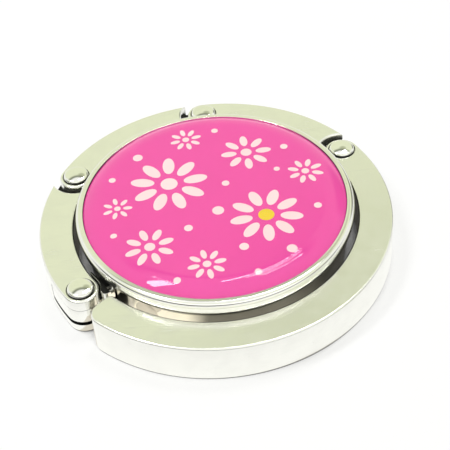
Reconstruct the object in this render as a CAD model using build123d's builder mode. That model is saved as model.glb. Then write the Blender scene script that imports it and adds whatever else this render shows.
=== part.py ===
from build123d import *
from math import atan, cos, degrees, radians, sin, sqrt
import os

# Folding purse hook: a round disc inside a ring made of three links and a long hook.
# Closed, the ring lies flat. It and the rubber pad under the disc stand on z = 0, and
# the ring's centre is the origin. Azimuths run anticlockwise from +X, in degrees.

# Ring
ring_radius = 22.5
link_width = 4.35
ring_thickness = 5.35
edge_round = 0.28
knuckle_azimuth = 213.9
pivot_pitch = 61.0
tip_azimuth = 223.2
tip_outer_round = 1.9
tip_inner_round = 0.8

# Fork and tongue of each hinge
top_plate = 1.55
bottom_plate = 1.2
tongue_thickness = 2.0
tongue_face_gap = 0.05
slot_reach = 4.8
tail_gap = 0.15
shoulder_gap = 1.0

# Rivets
rivet_radius = 1.0
rivet_fit = 0.02
running_fit = 0.06
head_radius = 1.65
head_height = 0.46
head_edge = 0.12
tail_radius = 1.5
tail_depth = 0.5
tail_recess = 0.08

# Spring washers in the forks
washer_radius = 1.75
washer_metal = 0.25
washer_fit = 0.08

# Disc
rim_gap = 0.55
waist_inset = 1.0
base_bottom = 0.6
base_round = 0.35
rim_bottom = 5.85
rim_top = 7.6
rim_round = 0.6
bead_height = 0.85
bead_step = 0.12
bead_round = 0.1

# Print and resin in the top of the disc
rim_wall = 1.0
print_side_gap = 0.05
print_depth = 0.5
print_thickness = 0.2
resin_edge = 0.12
resin_height = 1.35
resin_shoulder_round = 4.0
resin_foot_angle = 40.0

# Rubber pad under the disc
pad_inset = 1.6
pad_side_gap = 0.05
pad_thickness = 1.4
pad_round = 0.3

# Swivel knuckle between the disc and the ring
neck_radius = 1.65
neck_gap = 0.1
lug_inner_gap = 0.1
lug_depth = 0.9
lug_reach = 2.65
lug_round = 0.5
lug_fork_gap = 0.22
lug_bottom = 0.3
lug_top_inset = 0.05

# Swivel pin with its spring washer and retaining clip
pin_radius = 1.1
pin_fit = 0.02
pin_seat = 0.95
bearing_wall = 2.9
pocket_length = 2.2
pocket_half_width = 2.0
pocket_roof_gap = 0.3
swivel_washer_radius = 1.6
swivel_washer_height = 0.4
clip_radius = 1.65
clip_thickness = 0.4
clip_gap = 0.04
clip_mouth = 1.2
clip_pad_gap = 0.15
groove_radius = 0.75
pin_overhang = 0.4

# Magnets that hold the hook's tip beside the disc
magnet_radius = 1.5
magnet_fit = 0.03
magnet_glue_gap = 0.05
magnet_setback = 4.8
disc_magnet_length = 2.4
tip_magnet_length = 2.0

# One overrun for every cut
overrun = 1.0

# Sizes and places that follow from those above
ring_inner = ring_radius - link_width
end_radius = link_width / 2
pivot_radius = ring_inner + end_radius
hook_azimuth = knuckle_azimuth - 3 * pivot_pitch
hook_span = hook_azimuth - tip_azimuth + 360
slot_height = ring_thickness - top_plate - bottom_plate
tongue_bottom = ring_thickness - top_plate - tongue_face_gap - tongue_thickness
tail_reach = slot_reach - tail_gap
tail_span = degrees(slot_reach / ring_inner)
shoulder_reach = end_radius + shoulder_gap
washer_height = tongue_bottom - tongue_face_gap - bottom_plate
rim_radius = ring_inner - rim_gap
waist_radius = rim_radius - waist_inset
print_radius = rim_radius - rim_wall
pad_radius = waist_radius - pad_inset
bead_bottom = rim_top - bead_height
band_radius = rim_radius - bead_step
recess_radius = print_radius + print_side_gap
print_floor = rim_top - print_depth
resin_floor = print_floor + print_thickness
resin_foot = resin_floor + resin_edge
resin_top = resin_floor + resin_height
shoulder_centre = Vector(
    print_radius - resin_shoulder_round * sin(radians(resin_foot_angle)),
    resin_foot - resin_shoulder_round * cos(radians(resin_foot_angle)),
)
crown_angle = 2 * atan((resin_top - shoulder_centre.Y - resin_shoulder_round) / shoulder_centre.X)
crown_edge = shoulder_centre + resin_shoulder_round * Vector(sin(crown_angle), cos(crown_angle))
neck_inner = waist_radius + neck_gap
neck_outer = ring_inner - lug_fork_gap
lug_inner = rim_radius + lug_inner_gap
swivel_height = pad_thickness + clip_pad_gap + clip_radius
pocket_outer = waist_radius - bearing_wall
pocket_roof = swivel_height + clip_radius + pocket_roof_gap
swivel_washer_base = pocket_outer - clip_gap - swivel_washer_height
clip_base = swivel_washer_base - clip_gap - clip_thickness
pin_end = clip_base - pin_overhang
magnet_azimuth = tip_azimuth + degrees(magnet_setback / pivot_radius)
disc_magnet_face = sqrt(waist_radius**2 - magnet_radius**2)
up = Vector(0, 0, 1)


def outwards(azimuth):
    """Level unit vector at an azimuth."""
    return Vector(cos(radians(azimuth)), sin(radians(azimuth)), 0)


def level(azimuth, height):
    """Level plane at a height, its X axis pointing along an azimuth."""
    return Plane(origin=(0, 0, height), x_dir=outwards(azimuth), z_dir=up)


def facing(azimuth, radius):
    """Upright plane at a radius that faces outwards, at the swivel's height."""
    origin = outwards(azimuth) * radius + up * swivel_height
    return Plane(origin=origin, x_dir=up, z_dir=outwards(azimuth))


def rivet_plane(azimuth, height):
    """Plane through a rivet's axis, its X axis outwards and its Y axis up."""
    out = outwards(azimuth)
    return Plane(origin=out * pivot_radius + up * height, x_dir=out, z_dir=out.cross(up))


def swivel_plane(radius):
    """Plane through the swivel's axis, its X axis up and its Y axis outwards."""
    out = outwards(knuckle_azimuth)
    return Plane(origin=out * radius + up * swivel_height, x_dir=up, z_dir=up.cross(out))


def pivot(angle=0):
    """Centre of a rivet, an angle away from a level plane's X axis."""
    return outwards(angle) * pivot_radius


def sector(start, end):
    """Outline of the piece of the ring between two angles."""
    with BuildSketch() as piece:
        with BuildLine():
            outer = CenterArc((0, 0), ring_radius, start, end - start)
            inner = CenterArc((0, 0), ring_inner, start, end - start)
            Line(outer @ 0, inner @ 0)
            Line(outer @ 1, inner @ 1)
        make_face()
    return piece.sketch


def fork_outline(span):
    """Outline of a link, from its fork's round end through an angle clockwise."""
    with BuildSketch() as outline:
        add(sector(-span, 0))
        with Locations(pivot()):
            Circle(end_radius)
    return outline.sketch


def open_fork(azimuth):
    """Cut a fork's slot through the link's whole width and bore it for its rivet."""
    with BuildSketch(level(azimuth, bottom_plate)) as slot:
        with Locations(pivot()):
            Circle(slot_reach)
    extrude(slot.sketch, amount=slot_height, mode=Mode.SUBTRACT)
    plane = rivet_plane(azimuth, 0)
    with BuildSketch(plane) as bore:
        with BuildLine():
            Polyline(
                (0, -overrun),
                (tail_radius + rivet_fit, -overrun),
                (tail_radius + rivet_fit, tail_recess),
                (rivet_radius + rivet_fit, tail_recess + tail_depth),
                (rivet_radius + rivet_fit, ring_thickness + overrun),
                (0, ring_thickness + overrun),
                close=True,
            )
        make_face()
    revolve(bore.sketch, axis=Axis(plane.origin, up), mode=Mode.SUBTRACT)


def bore_tongue(azimuth):
    """Bore a tongue so that it turns freely on its rivet."""
    with BuildSketch(level(azimuth, tongue_bottom)) as bore:
        with Locations(pivot()):
            Circle(rivet_radius + running_fit)
    extrude(bore.sketch, amount=tongue_thickness, mode=Mode.SUBTRACT)


def rivet(azimuth):
    """Rivet with a low domed head above and a countersunk tail below."""
    plane = rivet_plane(azimuth, 0)
    with BuildPart() as piece:
        with BuildSketch(plane):
            with BuildLine():
                side = Polyline(
                    (0, tail_recess),
                    (tail_radius, tail_recess),
                    (rivet_radius, tail_recess + tail_depth),
                    (rivet_radius, ring_thickness),
                    (head_radius, ring_thickness),
                    (head_radius, ring_thickness + head_edge),
                )
                crown = TangentArc(
                    (0, ring_thickness + head_height), side @ 1, tangent=(1, 0)
                )
                Line(crown @ 0, side @ 0)
            make_face()
        revolve(axis=Axis(plane.origin, up))
    return piece.part


def spring_washer(plane, bore, radius, height):
    """Dished washer that stands on a plane's X axis and rises along its Y axis."""
    with BuildPart() as piece:
        with BuildSketch(plane):
            with BuildLine():
                Polyline(
                    (radius, 0),
                    (radius, washer_metal),
                    (bore, height),
                    (bore, height - washer_metal),
                    close=True,
                )
            make_face()
        revolve(axis=Axis(plane.origin, plane.y_dir))
    return piece.part


def hinge_washer(azimuth):
    """Spring washer round a rivet, between the fork's lower plate and the tongue."""
    plane = rivet_plane(azimuth, bottom_plate)
    return spring_washer(plane, rivet_radius + washer_fit, washer_radius, washer_height)


def magnet(face, length):
    """Round magnet that reaches outwards from its inner face."""
    with BuildPart() as piece:
        with BuildSketch(facing(magnet_azimuth, face)):
            Circle(magnet_radius)
        extrude(amount=length)
    return piece.part


def chain_link(azimuth):
    """Short link: a fork at the azimuth and a tongue one pitch clockwise of it."""
    tongue_azimuth = azimuth - pivot_pitch
    with BuildPart() as piece:
        with BuildSketch(level(azimuth, 0)):
            add(fork_outline(pivot_pitch))
            with Locations(pivot(-pivot_pitch)):
                Circle(shoulder_reach, mode=Mode.SUBTRACT)
        extrude(amount=ring_thickness)
        fillet(piece.faces().filter_by(Axis.Z).edges(), edge_round)
        open_fork(azimuth)
        # Tongue with a tail that fills the next fork's slot
        with BuildSketch(level(tongue_azimuth, tongue_bottom)):
            add(sector(-tail_span, tail_span))
            with Locations(pivot()):
                Circle(tail_reach, mode=Mode.INTERSECT)
        extrude(amount=tongue_thickness)
        bore_tongue(tongue_azimuth)
    return piece.part


# Disc, turned as one casting
with BuildPart() as disc_body:
    with BuildSketch(Plane.XZ) as disc_profile:
        with BuildLine():
            Polyline(
                (0, pad_thickness),
                (pad_radius + pad_side_gap, pad_thickness),
                (pad_radius + pad_side_gap, base_bottom),
                (waist_radius, base_bottom),
                (waist_radius, rim_bottom),
                (band_radius, rim_bottom),
                (band_radius, bead_bottom),
                (rim_radius, bead_bottom),
                (rim_radius, rim_top),
                (recess_radius, rim_top),
                (recess_radius, print_floor),
                (0, print_floor),
                close=True,
            )
        make_face()
        corners = {
            (waist_radius, base_bottom): base_round,
            (band_radius, rim_bottom): bead_round,
            (rim_radius, bead_bottom): bead_round,
            (rim_radius, rim_top): rim_round,
        }
        for corner, radius in corners.items():
            fillet(disc_profile.vertices().sort_by_distance(corner)[0], radius)
    revolve(axis=Axis.Z)
    # Pocket for the swivel pin's clip, open below and closed by the pad
    with BuildSketch(level(knuckle_azimuth, pad_thickness - overrun)):
        with Locations((pocket_outer - pocket_length / 2, 0)):
            Rectangle(pocket_length, 2 * pocket_half_width)
    extrude(amount=pocket_roof - pad_thickness + overrun, mode=Mode.SUBTRACT)
    # Bearing for the swivel pin
    with BuildSketch(facing(knuckle_azimuth, pocket_outer - overrun)):
        Circle(pin_radius + running_fit)
    extrude(amount=bearing_wall + 2 * overrun, mode=Mode.SUBTRACT)
    # Hole for the magnet
    with BuildSketch(facing(magnet_azimuth, disc_magnet_face - disc_magnet_length - magnet_glue_gap)):
        Circle(magnet_radius + magnet_fit)
    extrude(amount=disc_magnet_length + overrun, mode=Mode.SUBTRACT)

# Printed disc under the resin
with BuildPart() as printed_insert:
    with BuildSketch(Plane.XY.offset(print_floor)):
        Circle(print_radius)
    extrude(amount=print_thickness)

# Clear resin dome over the print: a wide crown and a round shoulder
with BuildPart() as resin_dome:
    with BuildSketch(Plane.XZ):
        with BuildLine():
            side = Polyline((0, resin_floor), (print_radius, resin_floor), (print_radius, resin_foot))
            wide_crown = TangentArc((0, resin_top), crown_edge, tangent=(1, 0))
            TangentArc(crown_edge, side @ 1, tangent=wide_crown % 1)
            Line(wide_crown @ 0, side @ 0)
        make_face()
    revolve(axis=Axis.Z)

# Rubber pad that rests on the table
with BuildPart() as rubber_pad:
    with BuildSketch():
        Circle(pad_radius)
    extrude(amount=pad_thickness)
    fillet(rubber_pad.edges().sort_by(Axis.Z)[0], pad_round)

# Knuckle: neck under the rim, lug beside the fork and tongue in the fork
with BuildPart() as swivel_knuckle:
    with BuildSketch(level(knuckle_azimuth, lug_bottom)) as lug:
        with Locations((lug_inner, 0)):
            Rectangle(lug_depth, lug_reach, align=(Align.MIN, Align.MIN))
        outer_corner = (lug_inner + lug_depth, lug_reach)
        fillet(lug.vertices().sort_by_distance(outer_corner)[0], lug_round)
        with Locations(pivot()):
            Circle(end_radius + lug_fork_gap, mode=Mode.SUBTRACT)
        with Locations((lug_inner, 0)):
            Rectangle(neck_outer - lug_inner, neck_radius, align=(Align.MIN, Align.MAX))
    extrude(amount=ring_thickness - lug_top_inset - lug_bottom)
    with BuildSketch(facing(knuckle_azimuth, neck_inner)):
        Circle(neck_radius)
    extrude(amount=neck_outer - neck_inner)
    with BuildSketch(level(knuckle_azimuth, tongue_bottom)):
        add(sector(-tail_span, 0))
        with Locations(pivot()):
            Circle(end_radius)
            Circle(tail_reach, mode=Mode.INTERSECT)
        with Locations((lug_inner, 0)):
            Rectangle(pivot_radius - lug_inner, 2 * neck_radius, align=(Align.MIN, Align.CENTER))
    extrude(amount=tongue_thickness)
    bore_tongue(knuckle_azimuth)
    with BuildSketch(facing(knuckle_azimuth, neck_inner - overrun)):
        Circle(pin_radius + pin_fit)
    extrude(amount=pin_seat + overrun, mode=Mode.SUBTRACT)

# Swivel pin, fixed in the knuckle and grooved for its clip
with BuildPart() as swivel_pin:
    with BuildSketch(facing(knuckle_azimuth, pin_end)):
        Circle(pin_radius)
    extrude(amount=neck_inner + pin_seat - pin_end)
    with BuildSketch(facing(knuckle_azimuth, clip_base - clip_gap)):
        Circle(pin_radius + overrun)
        Circle(groove_radius, mode=Mode.SUBTRACT)
    extrude(amount=clip_thickness + 2 * clip_gap, mode=Mode.SUBTRACT)

with BuildPart() as swivel_clip:
    with BuildSketch(facing(knuckle_azimuth, clip_base)):
        Circle(clip_radius)
        Circle(groove_radius + pin_fit, mode=Mode.SUBTRACT)
        Rectangle(clip_radius + overrun, clip_mouth, align=(Align.MAX, Align.CENTER), mode=Mode.SUBTRACT)
    extrude(amount=clip_thickness)

# Long hook that closes the ring, with a blunt round tip
with BuildPart() as hook_link:
    with BuildSketch(level(hook_azimuth, 0)) as hook_outline:
        add(fork_outline(hook_span))
        tip_rounds = {ring_radius: tip_outer_round, ring_inner: tip_inner_round}
        for radius, tip_round in tip_rounds.items():
            corner = outwards(-hook_span) * radius
            fillet(hook_outline.vertices().sort_by_distance(corner)[0], tip_round)
    extrude(amount=ring_thickness)
    fillet(hook_link.faces().filter_by(Axis.Z).edges(), edge_round)
    open_fork(hook_azimuth)
    with BuildSketch(facing(magnet_azimuth, ring_inner - overrun)):
        Circle(magnet_radius + magnet_fit)
    extrude(amount=overrun + tip_magnet_length + magnet_glue_gap, mode=Mode.SUBTRACT)

nodes = {
    "disc_body": disc_body.part,
    "printed_insert": printed_insert.part,
    "resin_dome": resin_dome.part,
    "rubber_pad": rubber_pad.part,
    "disc_magnet": magnet(disc_magnet_face - disc_magnet_length, disc_magnet_length),
    "swivel_knuckle": swivel_knuckle.part,
    "swivel_pin": swivel_pin.part,
    "swivel_washer": spring_washer(
        swivel_plane(swivel_washer_base), pin_radius + washer_fit, swivel_washer_radius, swivel_washer_height
    ),
    "swivel_clip": swivel_clip.part,
    "hook_link": hook_link.part,
    "hook_rivet": rivet(hook_azimuth),
    "hook_washer": hinge_washer(hook_azimuth),
    "tip_magnet": magnet(ring_inner, tip_magnet_length),
}

# The three short links are one casting, each with its own rivet and washer
for place, name in enumerate(("first", "second", "third")):
    azimuth = knuckle_azimuth - place * pivot_pitch
    nodes[name + "_link"] = chain_link(azimuth)
    nodes[name + "_rivet"] = rivet(azimuth)
    nodes[name + "_washer"] = hinge_washer(azimuth)

os.makedirs("parts", exist_ok=True)
for name, part in nodes.items():
    part.label = name
    export_step(part, "parts/" + name + ".step")
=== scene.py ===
from collections import namedtuple
from math import acos, asin, atan, atan2, cos, degrees, pi, radians, sin, sqrt

import bmesh
import bpy
from mathutils import Matrix, Vector


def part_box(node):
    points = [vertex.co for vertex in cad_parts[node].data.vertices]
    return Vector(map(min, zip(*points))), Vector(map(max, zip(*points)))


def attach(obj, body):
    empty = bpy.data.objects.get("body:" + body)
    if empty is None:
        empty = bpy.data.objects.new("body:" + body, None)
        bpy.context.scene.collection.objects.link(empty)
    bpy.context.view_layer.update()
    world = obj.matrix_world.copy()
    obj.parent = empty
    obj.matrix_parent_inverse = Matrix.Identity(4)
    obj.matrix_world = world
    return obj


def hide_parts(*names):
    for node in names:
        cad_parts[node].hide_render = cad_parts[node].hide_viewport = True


bl_info = {
    "name": "Folding purse hook",
    "version": (1, 0, 0),
    "blender": (4, 5, 0),
    "location": "View3D > Sidebar > Purse hook",
    "description": "Dresses the packed purse hook: chain, disc, print under resin, and pad",
    "category": "Object",
}

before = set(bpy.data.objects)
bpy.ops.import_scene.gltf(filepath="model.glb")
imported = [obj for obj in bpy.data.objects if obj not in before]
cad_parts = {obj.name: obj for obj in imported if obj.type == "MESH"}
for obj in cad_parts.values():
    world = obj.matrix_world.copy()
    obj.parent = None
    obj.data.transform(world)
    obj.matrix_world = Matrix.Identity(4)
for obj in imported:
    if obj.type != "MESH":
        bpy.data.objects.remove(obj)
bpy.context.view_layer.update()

# The shape is drawn in millimetres, as in the part's source, and scaled to metres at the end
MM = 0.001
PITCH = 61.0
KNUCKLE_AZIMUTH = 213.9
HOOK_AZIMUTH = KNUCKLE_AZIMUTH - 3 * PITCH
TIP_AZIMUTH = 223.2
FORK_AZIMUTHS = {
    "first": KNUCKLE_AZIMUTH,
    "second": KNUCKLE_AZIMUTH - PITCH,
    "third": KNUCKLE_AZIMUTH - 2 * PITCH,
    "hook": HOOK_AZIMUTH,
}
# Normals of the level and of the upright plane that outlines are drawn in
UP = Vector((0, 0, 1))
UPRIGHT = Vector((0, 1, 0))
# Degrees per step of an arc and steps per full turn, for large and for small pieces
OUTLINE_STEP = 1.0
END_STEP = 4
TURNED_STEPS = 256
SMALL_STEPS = 96
SHARP_ANGLE = radians(32)
# Distances within which points are one, edges are nothing, and heights are level
MERGE = 1e-4
SLIVER = 1e-5
LEVEL = 1e-6
# How far a cutter reaches past what it cuts
OVERRUN = 1.0


def half_width(name):
    """Half the width of a CAD node along X, in metres."""
    low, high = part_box(name)
    return (high.x - low.x) / 2


def top_of(name):
    """Height of a CAD node's highest point, in metres."""
    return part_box(name)[1].z


def length_setting(name, description, default):
    """Length that a user would change, in metres."""
    return bpy.props.FloatProperty(
        name=name, description=description, default=default, min=0, unit="LENGTH", precision=5)


def colour_setting(name, description, default):
    """Colour that a user would change."""
    return bpy.props.FloatVectorProperty(
        name=name, description=description, default=default, min=0, max=1, subtype="COLOR")


class RingSizes(bpy.types.PropertyGroup):
    """Sizes of the links and the hook"""

    outer_radius: length_setting(
        "Outer radius", "Outer radius of the closed ring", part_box("hook_link")[1].x)
    width: length_setting("Width", "Width of the ring, seen from above", 4.35 * MM)
    thickness: length_setting(
        "Thickness", "Height of the ring above the table", top_of("hook_link"))
    edge_round: length_setting("Edge rounding", "Radius of the polished-over edges", 0.28 * MM)


class DiscSizes(bpy.types.PropertyGroup):
    """Sizes of the disc, its resin and its pad"""

    rim_radius: length_setting(
        "Rim radius", "Outer radius of the disc's rim", half_width("disc_body"))
    rim_top: length_setting("Rim top", "Height of the rim above the table", top_of("disc_body"))
    resin_radius: length_setting(
        "Resin radius", "Radius of the resin and of the print under it", half_width("resin_dome"))
    resin_top: length_setting(
        "Resin top", "Height of the resin's crown above the table", top_of("resin_dome"))
    pad_radius: length_setting("Pad radius", "Radius of the rubber pad", half_width("rubber_pad"))


class Finishes(bpy.types.PropertyGroup):
    """Colours of the finishes"""

    plating: colour_setting("Plating", "Colour of the polished plating", (0.92, 0.92, 0.87))
    print_ground: colour_setting("Print", "Ground colour of the printed disc", (0.80, 0.095, 0.405))
    ink: colour_setting("Ink", "Colour of the printed flowers", (0.92, 0.82, 0.78))
    flower_centre: colour_setting(
        "Flower centre", "Colour of one flower's centre", (0.80, 0.70, 0.045))
    rubber: colour_setting("Rubber", "Colour of the pad", (0.035, 0.035, 0.037))


class Pen:
    """Draws an outline in a level or an upright plane, line by line and arc by arc."""

    def __init__(self, start, axis=UP):
        self.bm = bmesh.new()
        self.axis = axis
        self.last = self.bm.verts.new(self.place(start))

    def place(self, point):
        """A level point is x and y; an upright one is radius and height."""
        if self.axis == UP:
            return Vector((point[0], point[1], 0))
        return Vector((point[0], 0, point[1]))

    def line(self, *points):
        """Draw straight on to one point after another."""
        for point in points:
            new = self.bm.verts.new(self.place(point))
            self.bm.edges.new((self.last, new))
            self.last = new

    def arc(self, centre, angle, step=OUTLINE_STEP):
        """Turn on round a centre, anticlockwise for a positive angle in degrees."""
        turn = angle if self.axis == UP else -angle
        swept = bmesh.ops.spin(
            self.bm, geom=[self.last], cent=self.place(centre), axis=self.axis,
            angle=radians(turn), steps=max(1, round(abs(angle) / step)))
        self.last = next(v for v in swept["geom_last"] if isinstance(v, bmesh.types.BMVert))

    def face(self):
        """Close the outline if its ends don't meet, fill it, and return its bmesh."""
        bmesh.ops.remove_doubles(self.bm, verts=self.bm.verts, dist=MERGE)
        ends = [v for v in self.bm.verts if len(v.link_edges) == 1]
        if ends:
            self.bm.edges.new(ends)
        bmesh.ops.contextual_create(self.bm, geom=self.bm.edges[:])
        return self.bm


def level_edges(bm):
    """Edges of a raised outline's two flat faces."""
    return [e for e in bm.edges if abs(e.verts[0].co.z - e.verts[1].co.z) < LEVEL]


def prism(bm, low, high, edge=0.0, segments=4):
    """Raise a filled outline between two heights and round its two flat faces' edges."""
    bmesh.ops.translate(bm, verts=bm.verts, vec=(0, 0, low))
    raised = bmesh.ops.extrude_face_region(bm, geom=bm.faces[:])
    top = [v for v in raised["geom"] if isinstance(v, bmesh.types.BMVert)]
    bmesh.ops.translate(bm, verts=top, vec=(0, 0, high - low))
    if edge:
        bmesh.ops.bevel(
            bm, geom=level_edges(bm), offset=edge, offset_type="OFFSET", segments=segments,
            profile=0.5, affect="EDGES", clamp_overlap=True, material=-1)
    bmesh.ops.recalc_face_normals(bm, faces=bm.faces)
    return bm


def clean(bm):
    """Merge doubles, drop slivers and turn the faces outwards."""
    bmesh.ops.remove_doubles(bm, verts=bm.verts, dist=MERGE)
    bmesh.ops.dissolve_degenerate(bm, edges=bm.edges, dist=SLIVER)
    bmesh.ops.recalc_face_normals(bm, faces=bm.faces)


def turned(pen, steps=TURNED_STEPS, out=0):
    """Turn an upright profile once round the Z axis, as on a lathe, and move it out along X."""
    bm = pen.bm
    bmesh.ops.spin(
        bm, geom=bm.verts[:] + bm.edges[:], cent=(0, 0, 0), axis=UP,
        angle=radians(360), steps=steps, use_merge=True)
    clean(bm)
    bmesh.ops.translate(bm, verts=bm.verts, vec=(out, 0, 0))
    return bm


def rod(radius, low, high, out=0, steps=SMALL_STEPS):
    """Upright round bar between two heights, at a distance out along X."""
    bm = bmesh.new()
    bmesh.ops.create_circle(bm, cap_ends=True, segments=steps, radius=radius)
    bmesh.ops.translate(bm, verts=bm.verts, vec=(out, 0, 0))
    return prism(bm, low, high)


def spoke(radius, start, end, height, azimuth):
    """Round bar that points outwards at an azimuth, between two distances from the axis."""
    bm = rod(radius, start, end, steps=64)
    lay = Matrix.Rotation(radians(90), 4, "Y")
    bmesh.ops.transform(bm, matrix=lay, verts=bm.verts)
    bmesh.ops.translate(bm, verts=bm.verts, vec=(0, 0, height))
    return rotated(bm, azimuth)


def rotated(bm, azimuth):
    """Turn a mesh about the ring's axis."""
    turn = Matrix.Rotation(radians(azimuth), 3, "Z")
    bmesh.ops.rotate(bm, verts=bm.verts, cent=(0, 0, 0), matrix=turn)
    return bm


def as_object(bm, name):
    """Put a bmesh into the scene as an object."""
    mesh = bpy.data.meshes.new(name)
    bm.to_mesh(mesh)
    bm.free()
    piece = bpy.data.objects.new(name, mesh)
    bpy.context.scene.collection.objects.link(piece)
    return piece


def combine(piece, operation, others):
    """Join or cut other bmeshes into a piece, and put the result into its mesh."""
    helpers = [as_object(other, "cutter") for other in others]
    for helper in helpers:
        step = piece.modifiers.new("step", "BOOLEAN")
        step.operation, step.solver, step.object = operation, "EXACT", helper
    state = bpy.context.evaluated_depsgraph_get()
    shaped = bpy.data.meshes.new_from_object(piece.evaluated_get(state))
    piece.modifiers.clear()
    old, piece.data = piece.data, shaped
    bpy.data.meshes.remove(old)
    for helper in helpers:
        used = helper.data
        bpy.data.objects.remove(helper)
        bpy.data.meshes.remove(used)
    if not piece.data.polygons:
        raise RuntimeError(piece.name + ": nothing is left of it")


def coat(mesh, material):
    """Give a mesh one material."""
    mesh.materials.clear()
    mesh.materials.append(material)


def finish(piece, name, body, material, replaced=()):
    """Scale a piece to metres, shade it, and hand it to the frame."""
    piece.name = piece.data.name = name
    bm = bmesh.new()
    bm.from_mesh(piece.data)
    clean(bm)
    bmesh.ops.scale(bm, verts=bm.verts, vec=(MM, MM, MM))
    for face in bm.faces:
        face.smooth = True
        face.material_index = 0
    for edge in bm.edges:
        edge.smooth = len(edge.link_faces) == 2 and edge.calc_face_angle(0) < SHARP_ANGLE
    bm.to_mesh(piece.data)
    bm.free()
    coat(piece.data, material)
    even = piece.modifiers.new("even normals", "WEIGHTED_NORMAL")
    even.keep_sharp = True
    even.weight = 100
    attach(piece, body)
    if replaced:
        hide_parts(*replaced)


# Shader nodes

def node(tree, kind, inputs=None, **settings):
    """Add a node; an input that is given a socket is linked to it."""
    made = tree.nodes.new("ShaderNode" + kind)
    for name, value in settings.items():
        setattr(made, name, value)
    for name, value in (inputs or {}).items():
        if isinstance(value, bpy.types.NodeSocket):
            tree.links.new(value, made.inputs[name])
        else:
            made.inputs[name].default_value = value
    return made


def emptied(owner):
    """Node tree of a new material or world, with nothing in it."""
    owner.use_nodes = True
    owner.node_tree.nodes.clear()
    return owner.node_tree


def show(tree, output, shader):
    """Link a shader to an output node of its own."""
    tree.links.new(shader.outputs[0], node(tree, output).inputs["Surface"])


def maths(tree, operation, first, *others):
    """Result of a Math node, or of a row of them that take in one value after another."""
    result = first
    for other in others or (0.0,):
        result = node(tree, "Math", {0: result, 1: other}, operation=operation).outputs[0]
    return result


def times(tree, *values):
    return maths(tree, "MULTIPLY", *values)


def plus(tree, *values):
    return maths(tree, "ADD", *values)


def minus(tree, *values):
    return maths(tree, "SUBTRACT", *values)


def millimetres(tree):
    """Object coordinates, in millimetres."""
    place = node(tree, "TexCoord").outputs["Object"]
    return node(tree, "VectorMath", {0: place, "Scale": 1 / MM}, operation="SCALE").outputs[0]


def split(tree, vector):
    """X, Y and Z of a vector."""
    return node(tree, "SeparateXYZ", {0: vector}).outputs


def from_axis(tree, x, y):
    """Distance from the ring's axis."""
    return maths(tree, "SQRT", plus(tree, times(tree, x, x), times(tree, y, y)))


def remap(tree, value, low, high, to_low=0.0, to_high=1.0):
    """Result of a clamped Map Range node."""
    return node(tree, "MapRange", {
        "Value": value, "From Min": low, "From Max": high,
        "To Min": to_low, "To Max": to_high}).outputs[0]


def noise(tree, vector, scale, detail=2.0, roughness=0.5):
    """Noise texture's value."""
    return node(tree, "TexNoise", {
        "Vector": vector, "Scale": scale, "Detail": detail, "Roughness": roughness,
    }).outputs["Fac"]


def new_group(name, inputs, outputs):
    """Empty node group with float inputs (name: default) and outputs, and its two ends."""
    group = bpy.data.node_groups.new(name, "ShaderNodeTree")
    for title, default in inputs.items():
        made = group.interface.new_socket(title, in_out="INPUT", socket_type="NodeSocketFloat")
        made.default_value = default
    for title in outputs:
        group.interface.new_socket(title, in_out="OUTPUT", socket_type="NodeSocketFloat")
    ins, outs = group.nodes.new("NodeGroupInput"), group.nodes.new("NodeGroupOutput")
    return group, ins.outputs, outs.inputs


def hairlines(tree, place, turn, scale):
    """Thin random hairlines in one direction, as a mask."""
    along = node(tree, "Mapping", {
        "Vector": place, "Rotation": (0.35, 0.2, radians(turn)), "Scale": (0.12, 4.0, 4.0),
    }).outputs[0]
    return remap(tree, noise(tree, along, scale, detail=1.0), 0.66, 0.72)


# What hairlines (lines) and finger smudges take from the tone and add to the roughness
LINE_TONE, LINE_ROUGH, LINE_DEPTH = 0.02, 0.04, 0.004
SMUDGE_TONE, SMUDGE_ROUGH = 0.03, 0.05
GRAIN_ROUGH = 0.02
PEEL_SHARE = 0.05


def polish_group():
    """Hairline scratches, faint waves and finger smudges of a plated and polished surface."""
    group, ins, outs = new_group(
        "Polished wear", {"Waves": 1.0, "Scratches": 1.0, "Smudges": 1.0, "Roughness": 0.05},
        ("Tone", "Roughness", "Height"))
    place = millimetres(group)
    lines = maths(group, "MAXIMUM", hairlines(group, place, 24, 1.7),
                  hairlines(group, place, -51, 1.3))
    lines = times(group, lines, ins["Scratches"])
    smudge = remap(group, noise(group, place, 0.35, 4.0, 0.6), 0.42, 0.68)
    smudge = times(group, smudge, ins["Smudges"])
    grain = noise(group, place, 9.0, 3.0, 0.6)
    waves = times(group, noise(group, place, 0.28, 1.0), ins["Waves"])
    peel = times(group, noise(group, place, 2.2, 2.0), times(group, ins["Waves"], PEEL_SHARE))
    results = {
        "Tone": minus(group, 1.0, times(group, lines, LINE_TONE),
                      times(group, smudge, SMUDGE_TONE)),
        "Roughness": plus(group, ins["Roughness"], times(group, smudge, SMUDGE_ROUGH),
                          times(group, lines, LINE_ROUGH), times(group, grain, GRAIN_ROUGH)),
        "Height": minus(group, plus(group, waves, peel), times(group, lines, LINE_DEPTH)),
    }
    for name, value in results.items():
        group.links.new(value, outs[name])
    return group


def turning_group():
    """Fine rings that a lathe leaves round the part's axis."""
    group, ins, outs = new_group(
        "Turned lines", {"Rings per mm": 6.0, "Depth": 1.0}, ("Height", "Mask"))
    place = millimetres(group)
    flat = node(group, "VectorMath", {0: place, 1: (1, 1, 0)}, operation="MULTIPLY").outputs[0]
    radius = node(group, "VectorMath", {0: flat}, operation="LENGTH").outputs["Value"]
    rings = node(group, "TexNoise", {
        "W": times(group, radius, ins["Rings per mm"]), "Scale": 1.0, "Detail": 2.0},
        noise_dimensions="1D").outputs["Fac"]
    group.links.new(times(group, rings, ins["Depth"]), outs["Height"])
    group.links.new(remap(group, rings, 0.35, 0.65), outs["Mask"])
    return group


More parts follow.
